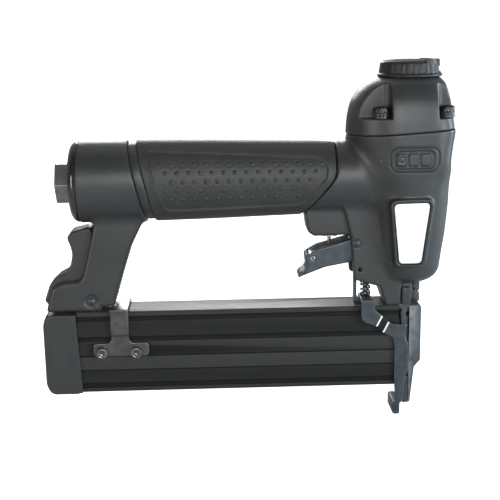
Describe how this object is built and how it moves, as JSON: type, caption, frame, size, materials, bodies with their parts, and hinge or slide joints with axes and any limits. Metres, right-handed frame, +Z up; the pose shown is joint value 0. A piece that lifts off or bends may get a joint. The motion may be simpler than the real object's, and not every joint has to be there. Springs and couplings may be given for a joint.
{
  "type": "pneumatic brad nailer",
  "caption": "Compact air-driven nail gun with a ribbed straight magazine, rubber grip, finger trigger, contact foot and rear latch.",
  "frame": {"origin": "under the middle of the tool, level with the bottom of the contact foot at the nose", "axes": "+X towards the nose end, +Y away from the near side, +Z up along the drive axis"},
  "size_m": [0.2366, 0.056, 0.2057],
  "materials": {
    "cast_body": "fine textured dark grey paint",
    "grip_rubber": "matte",
    "seal_rubber": "matte",
    "magazine_alloy": "black anodised, satin",
    "dark_steel": "blued, lightly worn",
    "black_screw": "black oxide",
    "bright_steel": "ground",
    "black_plastic": "gloss",
    "brass": "machined",
    "label_white": "satin"
  },
  "bodies": {
    "frame": {"gun_body": "cast_body", "cylinder_cap": "cast_body", "cap_gasket": "seal_rubber", "cap_screw_1": "black_screw", "cap_screw_2": "black_screw", "cap_screw_3": "black_screw", "cap_screw_4": "black_screw", "deflector_screw": "black_screw", "cylinder_sleeve": "bright_steel", "sleeve_lower_ring": "seal_rubber", "sleeve_upper_ring": "seal_rubber", "bumper": "seal_rubber", "head_valve_spring": "bright_steel", "exhaust_seal": "seal_rubber", "rear_cover": "cast_body", "rear_cover_ring": "seal_rubber", "rear_end_ring": "black_plastic", "inlet_fitting": "dark_steel", "grip_sleeve": "grip_rubber", "trigger_pin": "black_screw", "valve_bushing": "brass", "valve_cap": "brass", "valve_spring": "bright_steel", "safety_spring": "black_screw", "nose_guide": "dark_steel", "nose_cover": "dark_steel", "nose_screw_1": "black_screw", "nose_screw_2": "black_screw", "cover_screw_1": "black_screw", "cover_screw_2": "black_screw", "cover_screw_3": "black_screw", "cover_screw_4": "black_screw", "magazine_body": "magazine_alloy", "magazine_bracket": "dark_steel", "bracket_screw_1": "black_screw", "bracket_screw_2": "black_screw", "latch_pin": "black_screw", "latch_spring": "bright_steel", "name_plate": "label_white"},
    "exhaust_deflector": {"deflector": "black_plastic"},
    "piston_and_blade": {"piston": "bright_steel", "piston_ring": "seal_rubber", "driver_blade": "bright_steel"},
    "head_valve": {"head_valve": "black_plastic", "head_valve_ring": "seal_rubber"},
    "trigger": {"trigger": "dark_steel", "idler_pin": "bright_steel"},
    "idler": {"trigger_idler": "bright_steel"},
    "trigger_valve": {"valve_stem": "bright_steel"},
    "safety": {"contact_arm": "dark_steel", "safety_upper_arm": "dark_steel"},
    "magazine": {"magazine_slider": "magazine_alloy", "magazine_end_cap": "cast_body", "end_cap_screw": "black_screw", "pusher_rod": "bright_steel", "pusher_spring": "bright_steel"},
    "pusher": {"pusher": "bright_steel"},
    "latch": {"latch_lever": "cast_body"}
  },
  "joints": [
    {"name": "deflector_turn", "type": "hinge", "parent": "frame", "child": "exhaust_deflector", "pos_m": [0.0925, 0, 0.2], "axis": [0, 0, 1], "continuous": true},
    {"name": "piston_drive", "type": "slide", "parent": "frame", "child": "piston_and_blade", "axis": [0, 0, -1], "range_m": [0, 0.049]},
    {"name": "head_valve_lift", "type": "slide", "parent": "frame", "child": "head_valve", "axis": [0, 0, 1], "range_m": [0, 0.003], "stiffness_N_per_m": 1500, "springref_m": -0.004, "deforming": ["head_valve_spring"]},
    {"name": "trigger_pull", "type": "hinge", "parent": "frame", "child": "trigger", "pos_m": [0.062, 0, 0.1038], "axis": [0, 1, 0], "range_deg": [0, 9], "stiffness_Nm_per_rad": 0.4, "springref_deg": -11.46},
    {"name": "idler_lift", "type": "hinge", "parent": "trigger", "child": "idler", "pos_m": [0.0375, 0, 0.0947], "axis": [0, -1, 0], "range_deg": [0, 14.6]},
    {"name": "valve_stem_lift", "type": "slide", "parent": "frame", "child": "trigger_valve", "axis": [0, 0, 1], "range_m": [0, 0.0025], "stiffness_N_per_m": 500, "springref_m": -0.002, "deforming": ["valve_spring"]},
    {"name": "safety_lift", "type": "slide", "parent": "frame", "child": "safety", "axis": [0, 0, 1], "range_m": [0, 0.006], "stiffness_N_per_m": 1500, "springref_m": -0.01, "deforming": ["safety_spring"]},
    {"name": "magazine_slide", "type": "slide", "parent": "frame", "child": "magazine", "axis": [-1, 0, 0], "range_m": [0, 0.1]},
    {"name": "pusher_slide", "type": "slide", "parent": "magazine", "child": "pusher", "axis": [-1, 0, 0], "range_m": [0, 0.12], "stiffness_N_per_m": 20, "springref_m": -0.1, "deforming": ["pusher_spring"]},
    {"name": "latch_press", "type": "hinge", "parent": "frame", "child": "latch", "pos_m": [-0.0897, 0, 0.0729], "axis": [0, 1, 0], "range_deg": [0, 8], "stiffness_Nm_per_rad": 0.8, "springref_deg": -11.46, "deforming": ["latch_spring"]}
  ],
  "couplings": [
    {"joint": "idler_lift", "follows": "safety_lift", "rad_per_m": 42.18}
  ]
}
